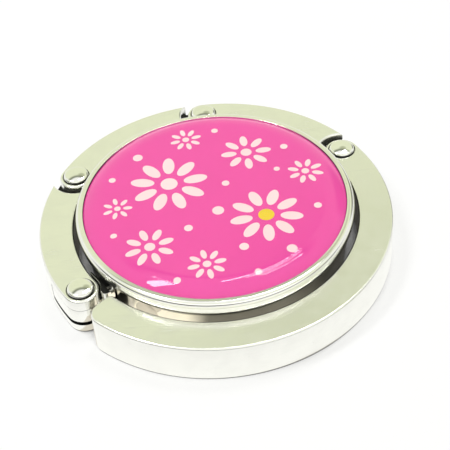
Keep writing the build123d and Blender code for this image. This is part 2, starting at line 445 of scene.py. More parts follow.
def dust_group():
    """Sparse specks of lint and dust."""
    group, ins, outs = new_group("Dust specks", {"Specks per mm": 0.6, "Size": 0.08}, ("Mask",))
    place = millimetres(group)
    cells = node(group, "TexVoronoi", {"Vector": place, "Scale": ins["Specks per mm"]})
    near = remap(group, cells.outputs["Distance"], 0.0, ins["Size"], 1.0, 0.0)
    some = remap(group, noise(group, place, 0.21, 0.0), 0.5, 0.56)
    group.links.new(times(group, near, some), outs["Mask"])
    return group


def grain_group():
    """Fine even grain for print, ink and rubber."""
    group, ins, outs = new_group("Fine grain", {"Scale": 8.0, "Contrast": 0.1}, ("Tone", "Height"))
    place = millimetres(group)
    fine = noise(group, place, ins["Scale"], 3.0, 0.65)
    broad = noise(group, place, 0.25, 2.0)
    mixed = plus(group, times(group, fine, 0.6), times(group, broad, 0.4))
    swing = times(group, minus(group, mixed, 0.5), ins["Contrast"])
    group.links.new(plus(group, swing, 1.0), outs["Tone"])
    group.links.new(fine, outs["Height"])
    return group


def placed(tree, group, values):
    """Place a node group in a tree with its own values."""
    made = tree.nodes.new("ShaderNodeGroup")
    made.node_tree = group
    for name, value in values.items():
        made.inputs[name].default_value = value
    return made.outputs


def toned(tree, colour, tone):
    """Colour scaled by a tone."""
    return node(tree, "VectorMath", {0: tuple(colour), "Scale": tone}, operation="SCALE").outputs[0]


def bump(tree, height, depth):
    """Normal from a height, whose full swing is a depth in millimetres."""
    return node(tree, "Bump", {
        "Height": height, "Strength": 1.0, "Distance": depth * MM}).outputs[0]


def material(name, build, **sockets):
    """Material with a Principled BSDF: build links what varies, the rest is set on the shader."""
    made = bpy.data.materials.new(name)
    tree = emptied(made)
    shader = node(tree, "BsdfPrincipled")
    show(tree, "OutputMaterial", shader)
    for socket, value in sockets.items():
        shader.inputs[socket.replace("_", " ")].default_value = value
    for socket, value in build(tree).items():
        tree.links.new(value, shader.inputs[socket])
    return made


# Where painted shade darkens the metal, in millimetres: between these heights in the joints, at
# the foot of a rivet's head, in the crevice round the resin, on the rim's inner lip, and under
# the rim
JOINT_LOW = 0.9
RING_JOINT_HIGH = 4.0
KNUCKLE_JOINT_HIGH = 5.6
HEAD_FOOT = 5.48
CREVICE_RADIUS = 16.645
CREVICE_LOW = 7.0
LIP_LOW = 7.3
EAVES_LOW = 4.8
EAVES_HIGH = 6.2
EAVES_RADIUS = 17.1
# Depth of a polished surface's waves
WAVE_DEPTH = 0.004
# Tone that full painted shade leaves, and roughness that it adds
PAINTED_SHADE_TONE = 0.03
PAINTED_SHADE_ROUGH = 0.4


def joint_painted_shade(tree, high):
    """Mask of painted shade on the level faces below a height, in the joints between parts."""
    level = split(tree, node(tree, "TexCoord").outputs["Normal"])["Z"]
    level = remap(tree, maths(tree, "ABSOLUTE", level), 0.6, 0.8)
    height = split(tree, millimetres(tree))["Z"]
    between = times(tree, remap(tree, height, JOINT_LOW, JOINT_LOW + 0.1),
                    remap(tree, height, high, high - 0.1))
    return times(tree, level, between)


def disc_painted_shade(tree):
    """Painted shade: crevice round the resin, deepest at the sides, waist's top, rim's lip at the
    front.
    """
    x, y, z = split(tree, millimetres(tree))
    radius = from_axis(tree, x, y)
    round_resin = times(
        tree, remap(tree, radius, CREVICE_RADIUS, CREVICE_RADIUS + 0.06, 1.0, 0.0),
        remap(tree, z, CREVICE_LOW, CREVICE_LOW + 0.1),
        remap(tree, maths(tree, "ABSOLUTE", y), 8.0, 14.0, 1.0, 0.15))
    under_rim = times(
        tree, remap(tree, z, EAVES_LOW - 0.3, EAVES_LOW),
        remap(tree, z, EAVES_HIGH, EAVES_HIGH - 0.2),
        remap(tree, radius, EAVES_RADIUS, EAVES_RADIUS - 0.1))
    # Painted shade on the rim's inner lip, at the front only
    front_lip = times(
        tree, remap(tree, radius, 16.8, 17.2, 0.35, 0.0),
        remap(tree, z, LIP_LOW, LIP_LOW + 0.1), remap(tree, y, -9.0, -14.0))
    return maths(tree, "MAXIMUM", round_resin, front_lip, under_rim)


def foot_painted_shade(tree, low):
    """Mask of painted shade at the foot of a rivet's head, up to a height, and not on the tail
    below.
    """
    height = split(tree, millimetres(tree))["Z"]
    return times(tree, remap(tree, height, low, low + 0.12, 1.0, 0.0),
                 remap(tree, height, low - 1.0, low - 0.9))


def polished(name, colour, roughness=0.04, waves=1.0, scratches=1.0, rings=0.0, painted_shade=None):
    """Plated and polished metal with lathe rings, and painted shade where a mask puts it."""
    def build(tree):
        wear = placed(tree, groups["polish"], {
            "Waves": waves, "Scratches": scratches, "Smudges": 1.0, "Roughness": roughness})
        specks = placed(tree, groups["dust"], {"Specks per mm": 0.5, "Size": 0.05})["Mask"]
        tone = minus(tree, wear["Tone"], times(tree, specks, 0.35))
        height, rough = wear["Height"], wear["Roughness"]
        if rings:
            lathe = placed(tree, groups["turning"], {"Rings per mm": 9.0, "Depth": rings})
            height = plus(tree, height, lathe["Height"])
            rough = plus(tree, rough, times(tree, lathe["Mask"], 0.03))
        if painted_shade:
            # Painted shade: the mask darkens the tone nearly to black and adds roughness
            mask = painted_shade[0](tree, *painted_shade[1:])
            tone = times(tree, tone, remap(tree, mask, 0.0, 1.0, 1.0, PAINTED_SHADE_TONE))
            rough = plus(tree, rough, times(tree, mask, PAINTED_SHADE_ROUGH))
        return {
            "Base Color": toned(tree, colour, tone), "Roughness": rough,
            "Normal": bump(tree, height, WAVE_DEPTH)}
    return material(name, build, Metallic=1.0)


def blend_colour(tree, mask, a, b):
    """Colour between two, by a mask."""
    return node(tree, "Mix", {0: mask, 6: a, 7: b}, data_type="RGBA").outputs[2]


DUST = (0.6, 0.58, 0.55, 1)


def grained(name, colour, roughness, scale, contrast, depth, dusty=0.0, **sockets):
    """Plain matt surface with a fine grain."""
    def build(tree):
        grain = placed(tree, groups["grain"], {"Scale": scale, "Contrast": contrast})
        surface = toned(tree, colour, grain["Tone"])
        rough = remap(tree, grain["Height"], 0.3, 0.7, roughness - 0.06, roughness + 0.06)
        if dusty:
            specks = placed(tree, groups["dust"], {"Specks per mm": 1.1, "Size": 0.09})["Mask"]
            surface = blend_colour(tree, times(tree, specks, dusty), surface, DUST)
        return {
            "Base Color": surface, "Roughness": rough,
            "Normal": bump(tree, grain["Height"], depth)}
    return material(name, build, **sockets)


def clear_resin(name):
    """Clear poured resin; lamps reach the print through it."""
    def build(tree):
        specks = placed(tree, groups["dust"], {"Specks per mm": 0.55, "Size": 0.06})["Mask"]
        waves = noise(tree, millimetres(tree), 0.16, 1.0)
        rough = remap(tree, specks, 0.0, 1.0, 0.012, 0.3)
        return {"Roughness": rough, "Normal": bump(tree, waves, 0.001)}
    made = material(name, build, IOR=1.5, Transmission_Weight=1.0, Base_Color=(1, 1, 1, 1))
    tree = made.node_tree
    shader = next(n for n in tree.nodes if n.type == "BSDF_PRINCIPLED")
    out = next(n for n in tree.nodes if n.type == "OUTPUT_MATERIAL")
    lets_light = node(tree, "BsdfTransparent")
    is_shadow = node(tree, "LightPath").outputs["Is Shadow Ray"]
    both = node(tree, "MixShader", {0: is_shadow, 1: shader.outputs[0], 2: lets_light.outputs[0]})
    tree.links.new(both.outputs[0], out.inputs["Surface"])
    return made


groups = {}
finishes = {}


def make_finishes(colours):
    """Build the node groups once, and every material from them."""
    groups.update(
        polish=polish_group(), turning=turning_group(), dust=dust_group(), grain=grain_group())
    plating = colours.plating
    print_sockets = {"Specular_IOR_Level": 0.0}
    finishes.update(
        # Ring, rivet, knuckle and disc are darkened by painted shade from their masks
        ring=polished("polished ring", plating, 0.19, painted_shade=(joint_painted_shade, RING_JOINT_HIGH)),
        disc=polished("polished disc", plating, 0.07, waves=0.7, rings=0.05, painted_shade=(disc_painted_shade,)),
        rivet=polished("polished rivet", plating, waves=0.5, painted_shade=(foot_painted_shade, HEAD_FOOT)),
        knuckle=polished(
            "polished knuckle", plating, 0.1, painted_shade=(joint_painted_shade, KNUCKLE_JOINT_HIGH)),
        steel=polished("turned steel", (0.55, 0.54, 0.52), 0.24, scratches=1.5),
        spring=polished("spring steel", (0.34, 0.31, 0.27), 0.3, scratches=1.5),
        magnet=polished("plated magnet", (0.62, 0.61, 0.58), 0.16),
        print_ground=grained(
            "pink print", colours.print_ground, 0.42, 11.0, 0.12, 0.002, **print_sockets),
        ink=grained("off-white ink", colours.ink, 0.45, 9.0, 0.10, 0.003, **print_sockets),
        centre=grained(
            "yellow ink", colours.flower_centre, 0.45, 9.0, 0.10, 0.003, **print_sockets),
        pad=grained("moulded rubber", colours.rubber, 0.66, 5.5, 0.5, 0.02, dusty=0.5),
        resin=clear_resin("clear resin"),
    )


Ring = namedtuple("Ring", "outer inner pivot half thickness edge")


def ring_of(sizes):
    """Outer, inner and pivot radius, half width, thickness and edge rounding, in millimetres."""
    outer, half = sizes.outer_radius / MM, sizes.width / MM / 2
    return Ring(outer, outer - 2 * half, outer - half, half,
                sizes.thickness / MM, sizes.edge_round / MM)


def meeting(radius, pivot, reach):
    """Angle at the ring's centre between a pivot and where a circle round it crosses a radius."""
    return degrees(acos((radius**2 + pivot**2 - reach**2) / (2 * radius * pivot)))


def on_circle(radius, azimuth):
    """Level point at a radius and an azimuth."""
    return Vector((radius * cos(radians(azimuth)), radius * sin(radians(azimuth))))


def turn_between(centre, start, end):
    """Signed angle from one point to another, seen from a centre, in degrees."""
    a, b = start - centre, end - centre
    return degrees(atan2(a.x * b.y - a.y * b.x, a.dot(b)))


# Fork and tongue heights and reaches, as in the part's source
BOTTOM_PLATE = 1.2
TOP_PLATE = 1.55
TONGUE_LOW = 1.75
TONGUE_HIGH = 3.75
SLOT_REACH = 4.8
TAIL_REACH = 4.65
SHOULDER_REACH = 3.175
RIVET_RADIUS = 1.0
RIVET_FIT = 0.02
RUNNING_FIT = 0.06
TAIL_RADIUS = 1.5
TAIL_RECESS = 0.08
TAIL_DEPTH = 0.5
# Rivet head, its seat in the fork, and the spun-over tail with its dimple
HEAD_RADIUS = 1.66
HEAD_ROUND = 0.42
HEAD_LAND = 0.06
HEAD_RISE = 0.66
SEAT_DEPTH = 0.14
SEAT_FIT = 0.04
SEAT_SPREAD = 1.5 * SEAT_DEPTH
TAIL_EDGE = 0.06
DIMPLE_SHARE = 0.55
DIMPLE_CENTRE = 1.6
DIMPLE_TURN = 27
DIMPLE_DEPTH = 0.17
# Heights between which a tongue is bored, and the turn and steps of a shoulder's rolled edge
BORE_LOW, BORE_HIGH = 1, 5
ROLL_TURN, ROLL_STEP = 80, 16


def fork_cutters(ring):
    """Slot and rivet bore of a fork whose pivot is on the X axis."""
    slot = rod(SLOT_REACH, BOTTOM_PLATE, ring.thickness - TOP_PLATE, ring.pivot, 180)
    top = ring.thickness + SEAT_DEPTH
    pen = Pen((0, -OVERRUN), UPRIGHT)
    pen.line(
        (TAIL_RADIUS + RIVET_FIT, -OVERRUN),
        (TAIL_RADIUS + RIVET_FIT, TAIL_RECESS),
        (RIVET_RADIUS + RIVET_FIT, TAIL_RECESS + TAIL_DEPTH),
        (RIVET_RADIUS + RIVET_FIT, ring.thickness - SEAT_DEPTH),
        (HEAD_RADIUS + SEAT_FIT, ring.thickness - SEAT_DEPTH),
        (HEAD_RADIUS + SEAT_FIT + SEAT_SPREAD, top),
        (0, top))
    return [slot, turned(pen, SMALL_STEPS, ring.pivot)]


def tongue_bore(ring):
    """Hole for the rivet in a tongue whose pivot is on the X axis."""
    return rod(RIVET_RADIUS + RUNNING_FIT, BORE_LOW, BORE_HIGH, ring.pivot)


def across_centre(bm):
    """Faces that lie in the plane where y is nothing."""
    return [f for f in bm.faces if all(abs(v.co.y) < SLIVER for v in f.verts)]


def shoulder_cutter(ring, azimuth, above):
    """Room above or below a tongue: a round shoulder with a rolled edge, open past the pivot."""
    floor = TONGUE_HIGH if above else TONGUE_LOW
    lip = ring.thickness if above else 0.0
    away = 1 if above else -1
    edge = away * ring.edge
    pen = Pen((0, floor), UPRIGHT)
    pen.line((SHOULDER_REACH, floor), (SHOULDER_REACH, lip - edge))
    pen.arc((SHOULDER_REACH + ring.edge, lip - edge), -away * ROLL_TURN, ROLL_STEP)
    pen.line((SHOULDER_REACH + 2 * ring.edge, lip + edge), (0, lip + edge))
    bm = pen.face()
    start = bm.faces[:]
    bmesh.ops.spin(bm, geom=start, cent=(0, 0, 0), axis=UP, angle=radians(180), steps=60)
    bmesh.ops.remove_doubles(bm, verts=bm.verts, dist=MERGE)
    pushed = bmesh.ops.extrude_face_region(bm, geom=across_centre(bm))
    moved = [v for v in pushed["geom"] if isinstance(v, bmesh.types.BMVert)]
    bmesh.ops.translate(bm, verts=moved, vec=(0, -3 * ring.half, 0))
    bmesh.ops.delete(bm, geom=across_centre(bm), context="FACES")
    bmesh.ops.recalc_face_normals(bm, faces=bm.faces)
    bmesh.ops.translate(bm, verts=bm.verts, vec=(ring.pivot, 0, 0))
    return rotated(bm, azimuth)


def draw_tail(pen, ring, pitch=0.0, start=0.0):
    """Draw along the inner wall, round a tongue's tail, and back along the outer wall."""
    inner_end = pitch + meeting(ring.inner, ring.pivot, TAIL_REACH)
    outer_end = pitch + meeting(ring.outer, ring.pivot, TAIL_REACH)
    centre = on_circle(ring.pivot, -pitch)
    tail = turn_between(
        centre, on_circle(ring.inner, -inner_end), on_circle(ring.outer, -outer_end))
    pen.arc((0, 0), start - inner_end)
    pen.arc(centre, tail, END_STEP)
    pen.arc((0, 0), outer_end)


class PURSEHOOK_OT_links(bpy.types.Operator):
    """Three short links, each a fork at one end and a tongue with a tail at the other"""

    bl_idname = "pursehook.links"
    bl_label = "Links"

    def execute(self, context):
        ring = ring_of(context.scene.ring_sizes)
        for name in ("first", "second", "third"):
            pen = Pen((ring.outer, 0))
            pen.arc((ring.pivot, 0), 180, END_STEP)
            draw_tail(pen, ring, PITCH)
            piece = as_object(prism(pen.face(), 0, ring.thickness, ring.edge), name)
            cutters = fork_cutters(ring)
            cutters += [shoulder_cutter(ring, -PITCH, above) for above in (True, False)]
            cutters.append(rotated(tongue_bore(ring), -PITCH))
            combine(piece, "DIFFERENCE", cutters)
            piece.data.transform(Matrix.Rotation(radians(FORK_AZIMUTHS[name]), 4, "Z"))
            finish(piece, name + "_link_polished", name + "_link",
                   finishes["ring"], [name + "_link"])
        return {"FINISHED"}


# Hook's tip, and the two magnets at the swivel's height
TIP_OUTER_ROUND = 1.9
TIP_INNER_ROUND = 0.8
SWIVEL_HEIGHT = 3.2
MAGNET_RADIUS = 1.5
MAGNET_FIT = 0.03
MAGNET_SETBACK = 4.8
TIP_MAGNET_HOLE = 2.05
DISC_MAGNET_HOLE = 2.45


def magnet_azimuth(ring):
    """Azimuth of the two magnets, a little back from the hook's tip."""
    return TIP_AZIMUTH + degrees(MAGNET_SETBACK / ring.pivot)


class PURSEHOOK_OT_hook(bpy.types.Operator):
    """Long hook with a fork at one end and a blunt round tip with a magnet at the other"""

    bl_idname = "pursehook.hook"
    bl_label = "Hook"

    def execute(self, context):
        ring = ring_of(context.scene.ring_sizes)
        span = HOOK_AZIMUTH - TIP_AZIMUTH + 360
        outer_centre, inner_centre = ring.outer - TIP_OUTER_ROUND, ring.inner + TIP_INNER_ROUND
        outer_back = degrees(asin(TIP_OUTER_ROUND / outer_centre))
        inner_back = degrees(asin(TIP_INNER_ROUND / inner_centre))
        pen = Pen((ring.outer, 0))
        pen.arc((ring.pivot, 0), 180, END_STEP)
        pen.arc((0, 0), -(span - inner_back))
        pen.arc(on_circle(inner_centre, inner_back - span), 90 - inner_back, 6)
        pen.line(on_circle(sqrt(outer_centre**2 - TIP_OUTER_ROUND**2), -span))
        pen.arc(on_circle(outer_centre, outer_back - span), 90 + outer_back, 5)
        pen.arc((0, 0), span - outer_back)
        piece = as_object(prism(pen.face(), 0, ring.thickness, ring.edge), "hook")
        hole = spoke(MAGNET_RADIUS + MAGNET_FIT, ring.inner - OVERRUN,
                     ring.inner + TIP_MAGNET_HOLE, SWIVEL_HEIGHT,
                     magnet_azimuth(ring) - HOOK_AZIMUTH)
        combine(piece, "DIFFERENCE", fork_cutters(ring) + [hole])
        piece.data.transform(Matrix.Rotation(radians(HOOK_AZIMUTH), 4, "Z"))
        finish(piece, "hook_polished", "hook", finishes["ring"], ["hook_link"])
        return {"FINISHED"}


def crown(pen, apex, edge_centre, edge_radius, end_tilt, step=2.0):
    """Low dome: a wide arc from the apex, then a small arc round the edge down to a tilt."""
    lean = 2 * atan((apex - edge_centre[1] - edge_radius) / edge_centre[0])
    wide = edge_centre[0] / sin(lean) + edge_radius
    pen.arc((0, apex - wide), -degrees(lean), degrees(lean) / 24)
    pen.arc(edge_centre, -(end_tilt - degrees(lean)), step)


class PURSEHOOK_OT_rivets(bpy.types.Operator):
    """Four rivets with domed heads above and spun-over tails below"""

    bl_idname = "pursehook.rivets"
    bl_label = "Rivets"

    def execute(self, context):
        ring = ring_of(context.scene.ring_sizes)
        apex, seat = ring.thickness + HEAD_RISE, ring.thickness - SEAT_DEPTH
        for name, azimuth in FORK_AZIMUTHS.items():
            pen = Pen((0, apex), UPRIGHT)
            edge = (HEAD_RADIUS - HEAD_ROUND, ring.thickness + HEAD_LAND)
            crown(pen, apex, edge, HEAD_ROUND, end_tilt=90, step=7)
            pen.line(
                (HEAD_RADIUS, seat),
                (RIVET_RADIUS, seat),
                (RIVET_RADIUS, TAIL_RECESS + TAIL_DEPTH),
                (TAIL_RADIUS, TAIL_RECESS + TAIL_EDGE),
                (TAIL_RADIUS - TAIL_EDGE, TAIL_RECESS),
                (TAIL_RADIUS * DIMPLE_SHARE, TAIL_RECESS))
            pen.arc((0, TAIL_RECESS - DIMPLE_CENTRE), DIMPLE_TURN, 3)
            pen.line((0, TAIL_RECESS + DIMPLE_DEPTH))
            bm = rotated(turned(pen, SMALL_STEPS, ring.pivot), azimuth)
            body = name if name == "hook" else name + "_link"
            finish(as_object(bm, name), name + "_rivet_polished", body,
                   finishes["rivet"], [name + "_rivet"])
        return {"FINISHED"}


# Knuckle, as in the part's source but for its edges; X points outwards from the disc here
LUG_INNER = 17.7
LUG_OUTER = 18.6
LUG_REACH = 2.65
LUG_ROUND = 0.5
LUG_LOW = 0.3
LUG_HIGH = 5.3
LUG_EDGE = 0.1
FORK_ROOM = 2.395
NECK_RADIUS = 1.65
NECK_INNER = 16.7
NECK_OUTER = 17.93
PIN_RADIUS = 1.1
PIN_FIT = 0.02
PIN_SEAT = 0.95
TONGUE_ROOT = 0.05
TONGUE_EDGE = 0.05


class PURSEHOOK_OT_knuckle(bpy.types.Operator):
    """Swivel knuckle: round neck, lug beside the hook's tip, and tongue in the first fork"""

    bl_idname = "pursehook.knuckle"
    bl_label = "Swivel knuckle"

    def execute(self, context):
        ring = ring_of(context.scene.ring_sizes)
        meet = sqrt(FORK_ROOM**2 - (ring.pivot - LUG_OUTER) ** 2)
        low_turn = degrees(asin(meet / FORK_ROOM))
        pen = Pen((LUG_INNER, -NECK_RADIUS))
        pen.line((LUG_INNER, LUG_REACH), (LUG_OUTER - LUG_ROUND, LUG_REACH))
        pen.arc((LUG_OUTER - LUG_ROUND, LUG_REACH - LUG_ROUND), -90, 10)
        pen.line((LUG_OUTER, meet))
        pen.arc((ring.pivot, 0), low_turn, 3)
        pen.line((NECK_OUTER, -NECK_RADIUS))
        lug = prism(pen.face(), LUG_LOW, LUG_HIGH, LUG_EDGE, 3)
        # Tongue: round end, two straight sides to the lug, and a tail that fills the fork's slot
        corner = degrees(asin(NECK_RADIUS / ring.half))
        root = degrees(asin(NECK_RADIUS / ring.inner))
        pen = Pen((ring.outer, 0))
        pen.arc((ring.pivot, 0), 180 - corner, END_STEP)
        pen.line(
            (LUG_INNER + TONGUE_ROOT, NECK_RADIUS),
            (LUG_INNER + TONGUE_ROOT, -NECK_RADIUS),
            on_circle(ring.inner, -root))
        draw_tail(pen, ring, start=root)
        tongue = prism(pen.face(), TONGUE_LOW, TONGUE_HIGH, TONGUE_EDGE, 2)
        neck = spoke(NECK_RADIUS, NECK_INNER, NECK_OUTER, SWIVEL_HEIGHT, 0)
        piece = as_object(lug, "knuckle")
        combine(piece, "UNION", [tongue, neck])
        pin_hole = spoke(
            PIN_RADIUS + PIN_FIT, NECK_INNER - OVERRUN, NECK_INNER + PIN_SEAT, SWIVEL_HEIGHT, 0)
        combine(piece, "DIFFERENCE", [tongue_bore(ring), pin_hole])
        piece.data.transform(Matrix.Rotation(radians(KNUCKLE_AZIMUTH), 4, "Z"))
        finish(piece, "swivel_knuckle_polished", "knuckle",
               finishes["knuckle"], ["swivel_knuckle"])
        return {"FINISHED"}


# Disc's profile, and its room for print, pad, pin and clip
PAD_THICKNESS = 1.4
PAD_SIDE_GAP = 0.05
BASE_BOTTOM = 0.6
BASE_ROUND = 0.35
WAIST_INSET = 1.0
RIM_BOTTOM = 5.85
RIM_ROUND = 0.6
BEAD_STEP = 0.12
BEAD_HEIGHT = 0.85
BEAD_ROUND = 0.06
BAND_FLARE = 0.06
PRINT_GAP = 0.05
PRINT_FLOOR = 7.1
RESIN_FLOOR = 7.25
LIP_ROUND = 0.06
BEARING_WALL = 2.9
POCKET_LENGTH = 2.2
POCKET_HALF_WIDTH = 2.0
POCKET_ROOF = 5.15


class PURSEHOOK_OT_disc(bpy.types.Operator):
    """Disc turned as one casting: waist, beaded rim, and room for print, pad and swivel"""

    bl_idname = "pursehook.disc"
    bl_label = "Disc"

    def execute(self, context):
        sizes = context.scene.disc_sizes
        rim, top = sizes.rim_radius / MM, sizes.rim_top / MM
        waist, band, bead = rim - WAIST_INSET, rim - BEAD_STEP, top - BEAD_HEIGHT
        recess, pad = sizes.resin_radius / MM + PRINT_GAP, sizes.pad_radius / MM + PAD_SIDE_GAP
        band_foot = band + BAND_FLARE - BEAD_ROUND
        pen = Pen((0, PAD_THICKNESS), UPRIGHT)
        pen.line((pad, PAD_THICKNESS), (pad, BASE_BOTTOM), (waist - BASE_ROUND, BASE_BOTTOM))
        pen.arc((waist - BASE_ROUND, BASE_BOTTOM + BASE_ROUND), 90, 10)
        pen.line((waist, RIM_BOTTOM), (band_foot, RIM_BOTTOM))
        pen.arc((band_foot, RIM_BOTTOM + BEAD_ROUND), 90, 15)
        pen.line((band - BAND_FLARE, bead), (rim - BEAD_ROUND, bead))
        pen.arc((rim - BEAD_ROUND, bead + BEAD_ROUND), 90, 15)
        pen.line((rim, top - RIM_ROUND))
        pen.arc((rim - RIM_ROUND, top - RIM_ROUND), 90, 5)
        pen.line((recess + LIP_ROUND, top))
        pen.arc((recess + LIP_ROUND, top - LIP_ROUND), 90, 15)
        pen.line((recess, PRINT_FLOOR), (0, PRINT_FLOOR))
        piece = as_object(turned(pen), "disc")
        ring = ring_of(context.scene.ring_sizes)
        pocket = bmesh.new()
        bmesh.ops.create_cube(pocket, size=1.0)
        height = POCKET_ROOF - BASE_BOTTOM
        room = (POCKET_LENGTH, 2 * POCKET_HALF_WIDTH, height)
        bmesh.ops.scale(pocket, verts=pocket.verts, vec=room)
        middle = waist - BEARING_WALL - POCKET_LENGTH / 2
        bmesh.ops.translate(pocket, verts=pocket.verts, vec=(middle, 0, POCKET_ROOF - height / 2))
        rotated(pocket, KNUCKLE_AZIMUTH)
        bearing = spoke(PIN_RADIUS + RUNNING_FIT, waist - BEARING_WALL - OVERRUN,
                        waist + OVERRUN, SWIVEL_HEIGHT, KNUCKLE_AZIMUTH)
        face = sqrt(waist**2 - MAGNET_RADIUS**2)
        magnet = spoke(MAGNET_RADIUS + MAGNET_FIT, face - DISC_MAGNET_HOLE, face + OVERRUN,
                       SWIVEL_HEIGHT, magnet_azimuth(ring))
        combine(piece, "DIFFERENCE", [pocket, bearing, magnet])
        finish(piece, "disc_polished", "disc", finishes["disc"], ["disc_body"])
        return {"FINISHED"}


# Flowers of the print: x, y, radius of the petals' tips, petals and turn in degrees; which of
# them has the yellow centre, and a petal's sizes as shares of that radius
FLOWERS = (
    (-5.6, 3.4, 5.0, 9, 10.0),
    (6.3, -3.6, 4.6, 9, 31.0),
    (4.6, 8.4, 3.3, 8, 5.0),
    (-8.2, -7.6, 3.1, 8, 20.0),
    (-1.4, -11.2, 2.4, 8, 12.0),
    (11.9, 3.9, 2.3, 8, 28.0),
    (-12.2, -0.4, 1.9, 7, 0.0),
    (-3.2, 11.9, 2.1, 8, 15.0),
)
DOTS = (
    (0.4, -2.2, 0.75), (1.6, 2.7, 0.5), (-3.4, -4.9, 0.55), (3.2, -8.8, 0.6), (8.9, -9.7, 0.65),
    (9.6, 9.0, 0.5), (12.8, -2.6, 0.5), (-9.6, 9.0, 0.65), (0.7, 13.3, 0.45), (-12.9, 5.0, 0.45),
    (-12.6, -5.2, 0.4), (-5.0, -13.3, 0.45), (4.6, -13.0, 0.45), (8.3, 4.7, 0.4),
)
YELLOW_CENTRED = 1
PETAL_WIDTH_SHARE = 0.155
PETAL_REACH_SHARE = 0.69
PETAL_STRETCH = 2.0
CENTRE_SHARE = 0.22
INK_LOW = 7.262
INK_HIGH = 7.285
PRINT_TOP = 7.265
PRINT_EDGE = 0.03


def ink_disc(bm, x, y, radius, stretch=1.0, angle=0.0, reach=0.0, steps=20):
    """Add one flat round or oval of ink, reaching out from x, y at an angle."""
    made = bmesh.ops.create_circle(bm, cap_ends=True, segments=steps, radius=radius)["verts"]
    bmesh.ops.scale(bm, verts=made, vec=(stretch, 1, 1))
    bmesh.ops.translate(bm, verts=made, vec=(reach, 0, 0))
    turn = Matrix.Rotation(radians(angle), 3, "Z")
    bmesh.ops.rotate(bm, verts=made, cent=(0, 0, 0), matrix=turn)
    bmesh.ops.translate(bm, verts=made, vec=(x, y, 0))


class PURSEHOOK_OT_print(bpy.types.Operator):
    """Printed disc under the resin, with plain daisies and dots laid on in ink"""

    bl_idname = "pursehook.print"
    bl_label = "Print"

    def execute(self, context):
        radius = context.scene.disc_sizes.resin_radius / MM
        ground = bmesh.new()
        bmesh.ops.create_circle(ground, cap_ends=True, segments=TURNED_STEPS, radius=radius)
        prism(ground, PRINT_FLOOR, PRINT_TOP, PRINT_EDGE, 2)
        finish(as_object(ground, "ground"), "printed_insert_ground", "disc",
               finishes["print_ground"], ["printed_insert"])
        motif, centre = bmesh.new(), bmesh.new()
        for flower, (x, y, tip, petals, turn) in enumerate(FLOWERS):
            for petal in range(petals):
                ink_disc(motif, x, y, tip * PETAL_WIDTH_SHARE, PETAL_STRETCH,
                         turn + petal * 360 / petals, tip * PETAL_REACH_SHARE)
            ink_disc(centre if flower == YELLOW_CENTRED else motif, x, y, tip * CENTRE_SHARE)
        for x, y, size in DOTS:
            ink_disc(motif, x, y, size)
        inks = {"print_flowers": (motif, "ink"), "print_flower_centre": (centre, "centre")}
        for name, (bm, finish_name) in inks.items():
            piece = as_object(prism(bm, INK_LOW, INK_HIGH), name)
            finish(piece, name, "disc", finishes[finish_name])
        return {"FINISHED"}


RESIN_EDGE = 0.17
RESIN_SHOULDER = 4.6
RESIN_FOOT_TILT = 40.0


class PURSEHOOK_OT_resin(bpy.types.Operator):
    """Clear resin dome, nearly flat with a round shoulder"""

    bl_idname = "pursehook.resin"
    bl_label = "Resin dome"

    def execute(self, context):
        sizes = context.scene.disc_sizes
        radius, apex = sizes.resin_radius / MM, sizes.resin_top / MM
        tilt = radians(RESIN_FOOT_TILT)
        foot = RESIN_FLOOR + RESIN_EDGE
        shoulder = (radius - RESIN_SHOULDER * sin(tilt), foot - RESIN_SHOULDER * cos(tilt))
        pen = Pen((0, apex), UPRIGHT)
        crown(pen, apex, shoulder, RESIN_SHOULDER, RESIN_FOOT_TILT)
        pen.line((radius, RESIN_FLOOR), (0, RESIN_FLOOR))
        finish(as_object(turned(pen), "resin"), "resin_dome_clear", "disc",
               finishes["resin"], ["resin_dome"])
        return {"FINISHED"}


PAD_ROUND = 0.3
GROOVE_SHARES = (0.88, 0.72, 0.56, 0.40, 0.24)
GROOVE_DEPTH = 0.12
GROOVE_WIDTH = 0.5
GROOVE_SLOPE = 0.1


class PURSEHOOK_OT_pad(bpy.types.Operator):
    """Rubber pad with a few shallow moulded grooves underneath"""

    bl_idname = "pursehook.pad"
    bl_label = "Rubber pad"

    def execute(self, context):
        radius = context.scene.disc_sizes.pad_radius / MM
        pen = Pen((0, PAD_THICKNESS), UPRIGHT)
        pen.line((radius, PAD_THICKNESS), (radius, PAD_ROUND))
        pen.arc((radius - PAD_ROUND, PAD_ROUND), -90, 15)
        for share in GROOVE_SHARES:
            start = radius * share
            pen.line(
                (start, 0),
                (start - GROOVE_SLOPE, GROOVE_DEPTH),
                (start - GROOVE_WIDTH + GROOVE_SLOPE, GROOVE_DEPTH),
                (start - GROOVE_WIDTH, 0))
        pen.line((0, 0))
        finish(as_object(turned(pen, 192), "pad"), "rubber_pad_moulded", "disc",
               finishes["pad"], ["rubber_pad"])
        return {"FINISHED"}


class PURSEHOOK_OT_fittings(bpy.types.Operator):
    """Finishes for the small CAD pieces that stay as they are"""

    bl_idname = "pursehook.fittings"
    bl_label = "Pin, clip, washers and magnets"

    def execute(self, context):
        worn = {
            "steel": ("swivel_pin",),
            "spring": ("swivel_clip", "swivel_washer", "first_washer", "second_washer",
                       "third_washer", "hook_washer"),
            "magnet": ("disc_magnet", "tip_magnet"),
        }
        for finish_name, nodes in worn.items():
            for name in nodes:
                coat(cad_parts[name].data, finishes[finish_name])
        return {"FINISHED"}


# Camera: place in millimetres, its right and up in the photograph, lens and sensor
CAMERA_PLACE = (1.10, -110.70, 110.67)
CAMERA_RIGHT = (0.99685, -0.0553, -0.0569)
CAMERA_UP = (0.0793, 0.6945, 0.7151)
CAMERA_LENS = 96.0
SENSOR_WIDTH = 36.0
CAMERA_CLIP = (0.005, 20.0)
# Table: half its width, and how far it lies below the part so that the two don't meet, in metres
TABLE_HALF = 3.0
TABLE_DROP = 0.00002
